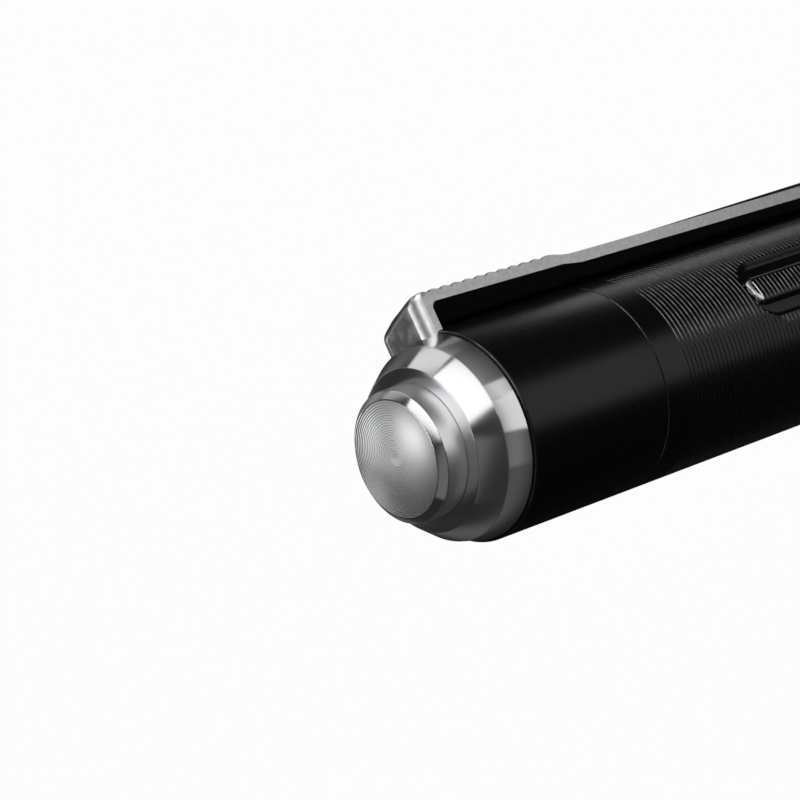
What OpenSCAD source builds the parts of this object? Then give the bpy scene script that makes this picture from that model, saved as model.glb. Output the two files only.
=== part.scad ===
// A slim two-cell penlight with a tail push button and a steel pocket clip.
// It stands on its head: the light comes out at z = 0 and the tail points up.
// The pocket clip is on the +X side, and every turned piece is centred on the Z axis.

/* [Body] */
// outer diameter of the head, barrel and tail sleeve
body_d = 13; // [12.6:0.1:16]
// radial play of a piece that slides or screws into another
fit = 0.05; // [0.03:0.01:0.1]

/* [Bezel and optics] */
// thickness of the rim in front of the lens
rim_t = 1.2; // [0.8:0.1:2]
// width of the rim around the light's opening
rim_w = 1.8; // [1.5:0.05:2.4]
// length of the bezel's skirt inside the head
skirt_len = 2; // [1.8:0.1:3]
// wall of the bezel's skirt
skirt_wall = 0.5; // [0.4:0.05:0.6]
// thickness of the lens gasket
gasket_t = 0.6; // [0.4:0.05:0.8]
// thickness of the lens
lens_t = 1; // [0.7:0.1:1.2]
// wall between the head's bore and its outside
head_wall = 0.75; // [0.6:0.05:0.9]
// depth of the reflector
reflector_len = 7.2; // [5:0.1:10]
// hole at the back of the reflector
reflector_hole_d = 4; // [3.4:0.1:4.4]
// width of the reflector's front lip
reflector_lip = 0.3; // [0.2:0.05:0.5]
// width of the emitter's square base
led_base_w = 3; // [2.6:0.1:3.2]
// thickness of the emitter's base and of the gasket around it
led_base_t = 0.6; // [0.4:0.05:0.8]
// diameter of the emitter's dome
dome_d = 2.4; // [2:0.1:2.6]
// play around the emitter's board
led_board_play = 0.75; // [0.3:0.05:1]
// thickness of the emitter's board
led_board_t = 1.4; // [1:0.1:2]

/* [Head] */
// thickness of the heat sink's disc
sink_t = 2; // [1.5:0.1:3]
// play around the heat sink's hollow stem
sink_stem_play = 0.1; // [0.05:0.01:0.4]
// length of the heat sink's stem
sink_stem_len = 4.5; // [3.6:0.1:6]
// wall of the heat sink's stem
sink_stem_wall = 0.8; // [0.5:0.05:1.2]
// hole for each lead through the heat sink
lead_hole_d = 1.2; // [0.8:0.1:1.6]
// thickness of the shelf that the heat sink rests on
shelf_t = 2; // [1.4:0.1:3]
// length of the sunk neck at the back of the head
neck_len = 2; // [1.5:0.1:3]
// depth of the sunk neck
neck_depth = 0.4; // [0.2:0.05:0.5]
// wall of the head's spigot
head_spigot_wall = 1.05; // [0.9:0.05:1.2]
// wall of the barrel around a spigot
socket_wall = 0.7; // [0.6:0.05:0.8]
// length of the head's spigot
head_spigot_len = 5; // [4.5:0.1:7]
// thickness of the driver board
driver_t = 1; // [0.8:0.1:1.2]
// thickness of the ring that holds the driver board
driver_ring_t = 1.3; // [0.8:0.1:1.5]
// radial width of the ring that holds the driver board
driver_ring_w = 1; // [0.8:0.1:1.4]
// thickness of each sealing ring
seal_d = 0.7; // [0.5:0.05:0.8]

/* [Cells] */
// play of a cell in the barrel
cell_play = 0.15; // [0.1:0.05:0.4]
// length of a cell with its raised contact
cell_len = 44.5; // [40:0.5:50]
// diameter of a cell's raised contact
cell_nub_d = 3.8; // [3:0.1:4.5]
// height of a cell's raised contact
cell_nub_len = 1; // [0.8:0.1:1.4]

/* [Springs] */
// wire of the two contact springs
contact_wire_d = 0.6; // [0.4:0.05:0.7]
// mean diameter of the front contact spring
front_coil_d = 4; // [3.4:0.1:5]
// length of the front contact spring
front_coil_len = 4; // [3.4:0.1:5]
// play between the tail contact spring's base and the sleeve
tail_coil_play = 0.5; // [0.3:0.05:0.8]
// mean diameter of the tail contact spring at the cell
tail_coil_tip_d = 4.6; // [4:0.1:6]
// length of the tail contact spring
tail_coil_len = 10.8; // [9:0.1:13]
// wire of the button's return spring
return_wire_d = 0.45; // [0.3:0.05:0.5]
// curls of a short spring
short_curls = 3; // [2:1:3]
// curls of the tail contact spring
long_curls = 5; // [3:1:7]

/* [Barrel] */
// wall of the barrel around the cells
barrel_wall = 1.1; // [0.9:0.05:1.2]
// length of a sunk oval on the barrel
oval_len = 20; // [12:0.5:30]
// width of a sunk oval
oval_w = 3.2; // [2.6:0.1:4]
// width of the raised bar inside the oval
oval_bar_w = 1.3; // [0.8:0.1:1.6]
// depth of the oval's channel
oval_depth = 0.45; // [0.2:0.05:0.5]
// distance from the tail seam to the oval
oval_from_seam = 9.1; // [6:0.1:20]
// angle of the oval from the clip
oval_angle = 76.5; // [60:0.5:90]

/* [Tail sleeve] */
// length of the visible sleeve
sleeve_len = 11.31; // [9:0.1:14]
// length of the sleeve's screwed spigot
cap_spigot_len = 4.8; // [4:0.1:6]
// wall of the sleeve's spigot
cap_spigot_wall = 1.15; // [1:0.05:1.4]
// wall of the sleeve around the switch
bay_wall = 1.1; // [1:0.05:1.2]
// depth of the notch for the clip in the sleeve's edge
notch_depth = 0.45; // [0.3:0.05:0.6]
// chamfer on the sleeve's and the barrel's ends
edge_chamfer = 0.2; // [0.1:0.02:0.3]

/* [Switch] */
// thickness of the switch board
switch_board_t = 1; // [0.8:0.1:1.2]
// length of the switch housing
housing_len = 3.3; // [3:0.1:4.5]
// diameter of the plunger
plunger_d = 3.8; // [3:0.1:4]
// stroke of the button
stroke = 1.1; // [0.6:0.05:1.2]
// thickness of the fixed contact under the plunger
contact_t = 0.15; // [0.1:0.05:0.2]
// wall between the plunger and the spring groove
coil_groove_wall = 0.55; // [0.4:0.05:0.6]
// depth of the spring groove in the switch housing
coil_groove_depth = 2.2; // [1.6:0.1:2.4]
// radial width of the spring groove
coil_groove_w = 1.1; // [1:0.05:1.2]

/* [Tail nut and button] */
// length of the nut's thread inside the sleeve
nut_thread_len = 1.4; // [1.2:0.05:2]
// step from the body's radius to the nut's flat face
nut_flat_step = 1.4; // [1.1:0.05:1.6]
// wall of the nut's threaded tube
nut_wall = 0.6; // [0.5:0.05:0.7]
// length of the nut's cone
nut_cone_len = 1.56; // [1.2:0.02:2]
// radial play between the button and the nut's hole
button_gap = 0.135; // [0.1:0.005:0.2]
// thickness of the nut's lip over the button's flange
nut_lip_t = 2.2; // [2:0.05:2.4]
// step from the flange's radius to the button's
flange_step = 0.605; // [0.5:0.005:0.8]
// width of the button's polished chamfer
button_bevel = 0.455; // [0.2:0.005:0.6]
// height of the button's polished chamfer
button_chamfer = 0.385; // [0.2:0.005:0.6]
// how far the button stands out of the nut
button_reach = 1.83; // [1.3:0.01:2.4]
// thickness of the button's flange
flange_t = 0.7; // [0.5:0.05:0.8]
// thickness of the seal on the button's flange
button_seal_t = 0.5; // [0.3:0.05:0.6]

/* [Pocket clip] */
// length of the clip's base ring
band_len = 1.64; // [1.4:0.02:2]
// step from the body's radius to the base ring beside the sleeve
band_step = 0.19; // [0.1:0.01:0.25]
// step from the body's radius to the base ring beside the nut
band_nut_step = 0.555; // [0.4:0.005:0.7]
// width of the clip
clip_w = 4.6; // [4:0.1:5.2]
// thickness of the clip's leg along the light
leg_front = 0.95; // [0.7:0.05:1.3]
// height of the leg's front face above the barrel
nose_rise = 1.1; // [0.8:0.05:1.3]
// distance from the sleeve's edge back to the top of the sloped nose
nose_back = 0.3; // [0.1:0.05:0.6]
// distance from the sleeve's edge to the clip's seam
seam_len = 1; // [0.8:0.05:1.4]
// gap between the barrel and the bar's flat underside
bar_gap = 0.4; // [0.35:0.01:0.5]
// height of the bar's bevelled underside
bar_bevel = 0.5; // [0.4:0.02:0.6]
// height of the bar's side
bar_side = 0.75; // [0.6:0.05:0.9]
// height of the bar's crown over its sides
bar_crown = 0.15; // [0.1:0.01:0.3]
// width of the flat along the bar's crown
crown_w = 3; // [2:0.1:3.6]
// height of the thumb pad above the bar
pad_rise = 0.45; // [0.3:0.05:0.6]
// length of the thumb pad
pad_len = 10.3; // [8:0.1:12]
// length of the slope behind the pad
pad_slope_len = 1.9; // [1.2:0.1:2.5]
// length of the bar up to its bump
bar_len = 39; // [34:0.5:44]
// length of the clip's bump
bump_len = 3; // [2:0.1:4]
// play between the bump and the barrel
bump_gap = 0.12; // [0.1:0.02:0.3]
// length of the turned-up tip
tip_len = 3.5; // [2:0.1:5]
// height of the turned-up tip's underside above the bar's
tip_rise = 0.7; // [0.3:0.05:0.9]
// number of notches across the thumb pad
notches = 10; // [6:1:10]
// spacing of the notches
notch_pitch = 0.94; // [0.9:0.005:1]
// depth of each notch
notch_cut = 0.14; // [0.08:0.02:0.2]

/* [Hidden] */
$fn = 96;
// overrun of every cut
over = 0.5;
body_r = body_d / 2;
head_bore_r = body_r - head_wall;
rim_hole_r = body_r - rim_w;
bore_r = body_r - barrel_wall;
cell_r = bore_r - cell_play;
skirt_r = head_bore_r - fit;
skirt_in_r = skirt_r - skirt_wall;
socket_r = body_r - socket_wall;
spigot_r = socket_r - fit;
head_rear_r = spigot_r - head_spigot_wall;
cap_bore_r = spigot_r - cap_spigot_wall;
led_board_r = head_bore_r - led_board_play;
sink_stem_r = head_rear_r - sink_stem_play;
tail_coil_r = cap_bore_r - tail_coil_play - contact_wire_d / 2;
bay_r = body_r - bay_wall;
bay_part_r = bay_r - 2 * fit;

// heights of the faces from the head upwards
lens_z = rim_t + gasket_t;
reflector_z = lens_z + lens_t;
led_z = reflector_z + reflector_len;
led_board_z = led_z + led_base_t;
sink_z = led_board_z + led_board_t;
shelf_z = sink_z + sink_t;
head_z = shelf_z + shelf_t;
neck_z = head_z - neck_len;
neck_r = body_r - neck_depth;
driver_z = shelf_z + sink_stem_len;
ring_z = driver_z + driver_t;
head_end_z = head_z + head_spigot_len;
cell_z = ring_z + front_coil_len;
rear_cell_z = cell_z + cell_len;
stack_z = rear_cell_z + cell_len;
bay_z = stack_z + tail_coil_len;
housing_z = bay_z + switch_board_t;
housing_end_z = housing_z + housing_len;
joint_z = housing_end_z + nut_thread_len;
seam_z = joint_z - sleeve_len;
cap_end_z = seam_z - cap_spigot_len;
band_z = joint_z + band_len;
nut_z = band_z + nut_cone_len;
lip_z = nut_z - nut_lip_t;
face_z = nut_z + button_reach;
seal_z = lip_z - button_seal_t;
flange_z = seal_z - flange_t;

// sunk ovals
oval_end_z = seam_z - oval_from_seam;
oval_mid_z = oval_end_z - oval_len / 2;

// return spring and plunger
plunger_r = plunger_d / 2;
coil_groove_r = plunger_r + fit + coil_groove_wall;
return_coil_r = coil_groove_r + coil_groove_w / 2;
coil_seat_z = housing_end_z - coil_groove_depth;
plunger_z = housing_z + contact_t + stroke + fit;

// nut and button
nut_tube_r = bay_r - fit;
chamber_r = nut_tube_r - nut_wall;
flange_r = chamber_r - 2 * fit;
button_r = flange_r - flange_step;
button_face_r = button_r - button_bevel;
nut_flat_r = body_r - nut_flat_step;
band_nut_r = body_r - band_nut_step;

// sealing rings: the groove is as wide as the ring and a play on each side
seal_r = seal_d / 2;
seal_mid_r = spigot_r - seal_r;
seal_groove_r = spigot_r - seal_d - fit;
seal_groove_w = seal_d + 2 * fit;
seal_land_share = 0.18;
head_seal_z = head_z + head_spigot_len * seal_land_share;
tail_seal_z = seam_z - cap_spigot_len * seal_land_share;

// pocket clip
half_w = clip_w / 2;
band_in_r = nut_tube_r + fit;
band_r = body_r - band_step;
nose_h = body_r + nose_rise;
nose_top_z = joint_z - nose_back;
bar_under_h = body_r + bar_gap;
bar_low_h = bar_under_h + bar_bevel;
bar_edge_h = bar_low_h + bar_side;
bar_h = bar_edge_h + bar_crown;
clip_seam_z = joint_z - seam_len;
notch_z = joint_z - notch_depth;
pad_h = bar_h + pad_rise;
pad_edge_h = bar_edge_h + pad_rise;
flat_half_w = half_w - bar_bevel;
crown_half = crown_w / 2;
bar_end_z = clip_seam_z - bar_len;
pad_end_z = clip_seam_z - pad_len;
slope_end_z = pad_end_z - pad_slope_len;
bump_mid_z = bar_end_z - bump_len / 2;
bump_end_z = bar_end_z - bump_len;
tip_end_z = bump_end_z - tip_len;
bump_h = body_r + bump_gap;
tip_under_h = bar_under_h + tip_rise;
first_notch_share = 0.72;
first_notch_z = clip_seam_z - notch_pitch * first_notch_share;

// springs: curl spacing against the wire
coil_rings = 8;
coil_sides = 6;
return_len = flange_z - coil_seat_z;
return_gap = return_len / short_curls - return_wire_d;
front_gap = front_coil_len / short_curls - contact_wire_d;
tail_gap = tail_coil_len / long_curls - contact_wire_d;
echo(least_gap_in_springs = min(return_gap, front_gap, tail_gap));

// a piece turned from pairs of radius and height
module turned(pairs) {
    rotate_extrude() polygon(pairs);
}

module tube(r_out, r_in, z_low, z_high) {
    turned([[r_in, z_low], [r_out, z_low], [r_out, z_high], [r_in, z_high]]);
}

module disc(r, z_low, z_high) {
    translate([0, 0, z_low]) cylinder(r = r, h = z_high - z_low);
}

// a sealing ring with a round section
module seal_ring(z) {
    translate([0, 0, z]) rotate_extrude() translate([seal_mid_r, 0]) circle(r = seal_r, $fn = 32);
}

// the groove that a sealing ring lies in
module seal_groove(z) {
    tube(body_r, seal_groove_r, z - seal_groove_w / 2, z + seal_groove_w / 2);
}

// one ring of points around the wire, at a share of the spring's length
function coil_ring(share, r_low, r_high, z_low, z_high, curls, wire_r) =
    let (turn = 360 * curls * share,
        r = r_low + (r_high - r_low) * share,
        z = z_low + wire_r + (z_high - z_low - 2 * wire_r) * share)
    [for (i = [0 : coil_sides - 1])
        let (a = 360 * i / coil_sides + 90,
            reach = r + wire_r * cos(a))
        [reach * cos(turn), reach * sin(turn), z + wire_r * sin(a)]];

// a coil spring as one unbroken tube
module coil(r_low, r_high, z_low, z_high, curls, wire_d) {
    last = curls * coil_rings;
    points = [for (k = [0 : last])
        each coil_ring(k / last, r_low, r_high, z_low, z_high, curls, wire_d / 2)];
    sides = [for (k = [0 : last - 1], i = [0 : coil_sides - 1])
        let (j = (i + 1) % coil_sides,
            a = k * coil_sides,
            b = a + coil_sides)
        each [[a + i, a + j, b + j], [a + i, b + j, b + i]]];
    start = [[for (i = [coil_sides - 1 : -1 : 0]) i]];
    end = [[for (i = [0 : coil_sides - 1]) last * coil_sides + i]];
    polyhedron(points = points, faces = concat(sides, start, end), convexity = 8);
}

// rim that closes the head, with a skirt inside the bore
module front_bezel() color("silver") {
    turned([[rim_hole_r, 0], [body_r, 0], [body_r, rim_t],
        [skirt_r, rim_t], [skirt_r, rim_t + skirt_len], [skirt_in_r, rim_t + skirt_len],
        [skirt_in_r, rim_t], [rim_hole_r, rim_t]]);
}

module lens_gasket() color("black")
    tube(skirt_in_r - fit, rim_hole_r, rim_t, lens_z);

module lens() color("lightblue")
    disc(skirt_in_r - fit, lens_z, reflector_z);

// cup with a parabolic inside
module reflector() color("gainsboro") {
    lip_r = skirt_in_r - fit;
    cup_r = lip_r - reflector_lip;
    hole_r = reflector_hole_d / 2;
    steps = 10;
    shoulder_z = rim_t + skirt_len + 2 * fit;
    inside = [for (k = [0 : steps])
        let (share = k / steps)
        [hole_r + (cup_r - hole_r) * sqrt(share), led_z - reflector_len * share]];
    turned(concat(inside, [[lip_r, reflector_z], [lip_r, shoulder_z], [skirt_r, shoulder_z],
        [skirt_r, led_z]]));
}

// ring that centres the emitter behind the reflector
module led_gasket() color("white")
    tube(led_board_r, led_base_w * sqrt(2) / 2 + fit, led_z, led_board_z);

module led_emitter() color("khaki") {
    translate([-led_base_w / 2, -led_base_w / 2, led_z]) cube([led_base_w, led_base_w, led_base_t]);
    intersection() {
        translate([0, 0, led_z]) sphere(d = dome_d);
        disc(dome_d, led_z - dome_d, led_z + led_base_t / 2);
    }
}

module led_board() color("white")
    disc(led_board_r, led_board_z, sink_z);

// brass disc with a hollow stem, pierced for the two leads
module heat_sink() color("goldenrod") {
    difference() {
        union() {
            disc(skirt_r, sink_z, shelf_z);
            disc(sink_stem_r, sink_z, driver_z);
        }
        disc(sink_stem_r - sink_stem_wall, shelf_z, driver_z + over);
        for (side = [-1, 1])
            translate([side * sink_stem_r / 2, 0, sink_z - over])
                cylinder(d = lead_hole_d, h = sink_t + 2 * over);
    }
}

module driver_board() color("green")
    disc(head_rear_r - fit, driver_z, ring_z);

module driver_ring() color("goldenrod")
    tube(head_rear_r - fit, head_rear_r - fit - driver_ring_w, ring_z, ring_z + driver_ring_t);

module positive_spring() color("gold")
    coil(front_coil_d / 2, front_coil_d / 2, ring_z, cell_z, short_curls, contact_wire_d);

// head with the optics in front of a shelf, a sunk neck and a spigot behind it
module head_housing() color("dimgray") {
    difference() {
        turned([[head_bore_r, rim_t], [body_r, rim_t], [body_r, neck_z], [neck_r, neck_z],
            [neck_r, head_z], [spigot_r, head_z],
            [spigot_r, head_end_z], [head_rear_r, head_end_z], [head_rear_r, shelf_z],
            [head_bore_r, shelf_z]]);
        seal_groove(head_seal_z);
    }
}

module head_seal() color("black")
    seal_ring(head_seal_z);

// outline of a sunk oval: two round ends and a straight part
module oval(w, len) {
    square([w, len - w], center = true);
    for (side = [-1, 1])
        translate([0, side * (len - w) / 2]) circle(d = w);
}

// channel of one sunk oval, standing out along +X
module oval_channel() {
    channel_w = (oval_w - oval_bar_w) / 2;
    translate([0, 0, oval_mid_z]) rotate([90, 0, 90]) linear_extrude(body_d) difference() {
        oval(oval_w, oval_len);
        oval(oval_bar_w, oval_len - 2 * channel_w);
    }
}

// tube for the cells with a socket at each end and two sunk ovals
module barrel() color("dimgray") {
    socket_low_z = head_end_z + 2 * fit;
    socket_high_z = cap_end_z - 2 * fit;
    difference() {
        turned([[socket_r, head_z], [body_r, head_z], [body_r, seam_z - edge_chamfer],
            [body_r - edge_chamfer, seam_z], [socket_r, seam_z], [socket_r, socket_high_z],
            [bore_r, socket_high_z], [bore_r, socket_low_z], [socket_r, socket_low_z]]);
        for (turn = [0, 180])
            rotate([0, 0, turn - oval_angle]) intersection() {
                oval_channel();
                tube(body_r + over, body_r - oval_depth, oval_end_z - oval_len - over, seam_z);
            }
    }
}

// one cell with its raised contact towards the head
module cell(z) {
    disc(cell_nub_d / 2, z, z + cell_len);
    disc(cell_r, z + cell_nub_len, z + cell_len);
}

module front_cell() color("peru")
    cell(cell_z);

module rear_cell() color("peru")
    cell(rear_cell_z);

module tail_spring() color("gold")
    coil(tail_coil_tip_d / 2, tail_coil_r, stack_z, bay_z, long_curls, contact_wire_d);

// sleeve of the tail cap with a spigot, a switch bay and a notch for the clip
module tail_sleeve() color("dimgray") {
    difference() {
        turned([[cap_bore_r, cap_end_z], [spigot_r, cap_end_z], [spigot_r, seam_z], [body_r, seam_z],
            [body_r, joint_z - edge_chamfer], [body_r - edge_chamfer, joint_z], [bay_r, joint_z],
            [bay_r, bay_z], [cap_bore_r, bay_z]]);
        seal_groove(tail_seal_z);
        translate([0, -half_w - fit, notch_z - fit]) cube([body_d, clip_w + 2 * fit, notch_depth + over]);
    }
}

module tail_seal() color("black")
    seal_ring(tail_seal_z);

module switch_board() color("green")
    disc(bay_part_r, bay_z, housing_z);

module switch_contact() color("gold")
    disc(plunger_r, housing_z, housing_z + contact_t);

// insulated body of the switch, with a bore for the plunger and a groove for the spring
module switch_housing() color("darkslategray") {
    difference() {
        tube(bay_part_r, plunger_r + fit, housing_z, housing_end_z);
        tube(coil_groove_r + coil_groove_w, coil_groove_r, coil_seat_z, housing_end_z + over);
    }
}

module switch_plunger() color("ivory")
    disc(plunger_r, plunger_z, flange_z);

module return_spring() color("gold")
    coil(return_coil_r, return_coil_r, coil_seat_z, flange_z, short_curls, return_wire_d);

// nut with a threaded tube, a cone and a flat face around the button
module tail_nut() color("silver") {
    hole_r = button_r + button_gap;
    turned([[chamber_r, housing_end_z], [nut_tube_r, housing_end_z], [nut_tube_r, band_z],
        [band_nut_r, band_z], [nut_flat_r, nut_z], [hole_r, nut_z], [hole_r, lip_z],
        [chamber_r, lip_z]]);
}

// section across the bar: flat crown, sloped shoulders, short sides and bevelled underside
module bar_section(top_h, edge_h) {
    polygon([[bar_under_h, -flat_half_w], [bar_low_h, -half_w], [edge_h, -half_w], [top_h, -crown_half],
        [top_h, crown_half], [edge_h, half_w], [bar_low_h, half_w], [bar_under_h, flat_half_w]]);
}

// side view of a piece of the clip, drawn as height over the axis and height along it, across its width
module across_clip(outline) {
    translate([0, half_w, 0]) rotate([90, 0, 0]) linear_extrude(clip_w) polygon(outline);
}

// base ring of the clip with the leg and the sloped nose
module clip_ring() color("silver") {
    turned([[band_in_r, joint_z], [band_r, joint_z], [band_nut_r, band_z], [band_in_r, band_z]]);
    root_h = band_in_r + fit;
    intersection() {
        across_clip([[root_h, notch_z], [bar_under_h, notch_z], [bar_under_h, clip_seam_z],
            [pad_h, clip_seam_z], [pad_h, nose_top_z], [nose_h, joint_z + leg_front],
            [root_h, joint_z + leg_front]]);
        translate([0, 0, clip_seam_z]) linear_extrude(body_d) union() {
            bar_section(pad_h, pad_edge_h);
            translate([0, -half_w]) square([bar_low_h, clip_w]);
        }
    }
}

// bar of the clip with its thumb pad, bump and turned-up tip
module clip_arm() color("silver") {
    translate([0, 0, bar_end_z]) linear_extrude(bar_len) bar_section(bar_h, bar_edge_h);
    difference() {
        translate([0, 0, slope_end_z]) linear_extrude(pad_len + pad_slope_len)
            bar_section(pad_h, pad_edge_h);
        across_cut([[bar_h, slope_end_z - over], [bar_h, slope_end_z], [pad_h, pad_end_z],
            [pad_h + over, pad_end_z], [pad_h + over, slope_end_z - over]]);
        for (k = [0 : notches - 1])
            translate([0, 0, first_notch_z - k * notch_pitch]) across_cut([[pad_h - notch_cut, 0],
                [pad_h + over, -notch_cut - over], [pad_h + over, notch_cut + over]]);
    }
    intersection() {
        across_clip([[bump_h, bump_mid_z], [bar_under_h, bar_end_z], [bar_h, bar_end_z],
            [bar_h, bump_end_z], [bar_edge_h + tip_rise / 2, tip_end_z], [tip_under_h, tip_end_z]]);
        translate([0, 0, tip_end_z]) linear_extrude(bar_len) tip_section();
    }
}

// section that trims the bump and the tip
module tip_section() {
    polygon([[bump_h, -flat_half_w], [bar_low_h, -half_w], [bar_edge_h, -half_w],
        [bar_h, -crown_half], [bar_h, crown_half],
        [bar_edge_h, half_w], [bar_low_h, half_w], [bump_h, flat_half_w]]);
}

// a cut right across the clip
module across_cut(outline) {
    translate([0, half_w + over, 0]) rotate([90, 0, 0]) linear_extrude(clip_w + 2 * over) polygon(outline);
}

// push button with a flange inside the nut
module tail_button() color("silver") {
    turned([[0, flange_z], [flange_r, flange_z], [flange_r, seal_z], [button_r, seal_z],
        [button_r, face_z - button_chamfer], [button_face_r, face_z], [0, face_z]]);
}

module button_seal() color("black")
    tube(flange_r, button_r + fit, seal_z, lip_z);

front_bezel();
lens_gasket();
lens();
reflector();
led_gasket();
led_emitter();
led_board();
heat_sink();
driver_board();
driver_ring();
positive_spring();
head_housing();
head_seal();
barrel();
front_cell();
rear_cell();
tail_spring();
tail_sleeve();
tail_seal();
switch_board();
switch_contact();
switch_housing();
switch_plunger();
return_spring();
tail_nut();
clip_ring();
clip_arm();
tail_button();
button_seal();
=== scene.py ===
import math
import bpy
import bmesh
from mathutils import Euler, Matrix, Vector


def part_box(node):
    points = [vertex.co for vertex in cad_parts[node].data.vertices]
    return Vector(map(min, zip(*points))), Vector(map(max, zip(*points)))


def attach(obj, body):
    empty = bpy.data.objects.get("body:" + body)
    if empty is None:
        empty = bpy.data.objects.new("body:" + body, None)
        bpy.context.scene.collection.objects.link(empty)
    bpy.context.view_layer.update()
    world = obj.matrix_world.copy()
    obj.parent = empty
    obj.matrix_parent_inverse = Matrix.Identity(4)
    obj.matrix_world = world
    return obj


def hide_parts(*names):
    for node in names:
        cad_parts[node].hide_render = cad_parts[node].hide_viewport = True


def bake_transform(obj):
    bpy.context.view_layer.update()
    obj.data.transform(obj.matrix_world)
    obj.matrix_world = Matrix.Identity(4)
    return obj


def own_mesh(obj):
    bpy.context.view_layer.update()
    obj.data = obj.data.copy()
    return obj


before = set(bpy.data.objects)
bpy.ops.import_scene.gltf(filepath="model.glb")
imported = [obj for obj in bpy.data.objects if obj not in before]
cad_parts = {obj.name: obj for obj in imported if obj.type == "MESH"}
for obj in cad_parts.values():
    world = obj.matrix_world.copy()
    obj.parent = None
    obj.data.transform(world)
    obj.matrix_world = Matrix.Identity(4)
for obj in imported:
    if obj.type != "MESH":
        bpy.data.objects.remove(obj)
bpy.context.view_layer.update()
scene = bpy.context.scene
mm = 0.001


def nodeSpan(node, axis=2):
    # lowest and highest value of a CAD node, in millimetres
    return [round(corner[axis] / mm, 2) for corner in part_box(node)]


# heights in millimetres from the head's face
levels = {"joint": nodeSpan("tail_sleeve")[1], "seam": nodeSpan("barrel")[1],
          "band": nodeSpan("clip_ring")[1], "face": nodeSpan("tail_button")[1],
          "head": nodeSpan("barrel")[0]}
bodyRadius = nodeSpan("barrel", axis=0)[1]


# effects that several finishes share

# noise detail and the stretch of its values that is used; relief is in millimetres
speckleNoise = {"detail": 1.0, "from": 0.4, "to": 0.62}
grainNoise = {"detail": 3.0, "from": 0.3, "to": 0.7, "relief": 0.04}


def openGroup(name, inputs, outputs, setting):
    # a noise on the piece's own coordinates, spread between the group's Low and High
    group = bpy.data.node_groups.new(name, "ShaderNodeTree")
    for socketName in inputs:
        group.interface.new_socket(socketName, in_out="INPUT", socket_type="NodeSocketFloat")
    for socketName, kind in outputs.items():
        group.interface.new_socket(socketName, in_out="OUTPUT", socket_type=kind)
    nodes, links = group.nodes, group.links
    start, end = nodes.new("NodeGroupInput"), nodes.new("NodeGroupOutput")
    place = nodes.new("ShaderNodeTexCoord")
    noise = nodes.new("ShaderNodeTexNoise")
    noise.inputs["Detail"].default_value = setting["detail"]
    spread = nodes.new("ShaderNodeMapRange")
    spread.inputs["From Min"].default_value = setting["from"]
    spread.inputs["From Max"].default_value = setting["to"]
    links.new(place.outputs["Object"], noise.inputs["Vector"])
    links.new(start.outputs["Scale"], noise.inputs["Scale"])
    links.new(noise.outputs["Fac"], spread.inputs["Value"])
    links.new(start.outputs["Low"], spread.inputs["To Min"])
    links.new(start.outputs["High"], spread.inputs["To Max"])
    return group, start, end, noise, spread


def makeSpeckle():
    # a worn metal's darker and paler spots
    group, _, end, _, spread = openGroup("speckle", ("Scale", "Low", "High"), {"Color": "NodeSocketColor"},
                                         speckleNoise)
    group.links.new(spread.outputs["Result"], end.inputs["Color"])
    return group


def makeGrain():
    # a fine uneven gloss with a slight relief
    outputs = {"Roughness": "NodeSocketFloat", "Normal": "NodeSocketVector"}
    group, start, end, noise, spread = openGroup("grain", ("Scale", "Low", "High", "Strength"),
                                                 outputs, grainNoise)
    relief = group.nodes.new("ShaderNodeBump")
    relief.inputs["Distance"].default_value = grainNoise["relief"] * mm
    group.links.new(start.outputs["Strength"], relief.inputs["Strength"])
    group.links.new(noise.outputs["Fac"], relief.inputs["Height"])
    group.links.new(spread.outputs["Result"], end.inputs["Roughness"])
    group.links.new(relief.outputs["Normal"], end.inputs["Normal"])
    return group


speckleGroup = makeSpeckle()
grainGroup = makeGrain()


def placeGroup(material, group, values, targets):
    # values fill the group's inputs in order, and each output feeds the shader socket of that name
    nodes, links = material.node_tree.nodes, material.node_tree.links
    node = nodes.new("ShaderNodeGroup")
    node.node_tree = group
    for socket, value in zip(node.inputs, values):
        socket.default_value = value
    for output, socketName in targets.items():
        links.new(node.outputs[output], nodes["Principled BSDF"].inputs[socketName])


def addTurning(material, amount):
    # reflections stretch across the lathe's marks, along the outline of a turned piece
    nodes, links = material.node_tree.nodes, material.node_tree.links
    shader = nodes["Principled BSDF"]
    place = nodes.new("ShaderNodeTexCoord")
    flat = nodes.new("ShaderNodeVectorMath")
    flat.operation = "MULTIPLY"
    flat.inputs[1].default_value = (1.0, 1.0, 0.0)
    unit = nodes.new("ShaderNodeVectorMath")
    unit.operation = "NORMALIZE"
    slope = nodes.new("ShaderNodeVectorMath")
    slope.operation = "SUBTRACT"
    slope.inputs[1].default_value = (0.0, 0.0, 1.0)
    turn = nodes.new("ShaderNodeVectorTransform")
    turn.vector_type = "VECTOR"
    turn.convert_from = "OBJECT"
    turn.convert_to = "WORLD"
    links.new(place.outputs["Object"], flat.inputs[0])
    links.new(flat.outputs[0], unit.inputs[0])
    links.new(unit.outputs[0], slope.inputs[0])
    links.new(slope.outputs[0], turn.inputs[0])
    links.new(turn.outputs[0], shader.inputs["Tangent"])
    shader.inputs["Anisotropic"].default_value = amount


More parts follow.
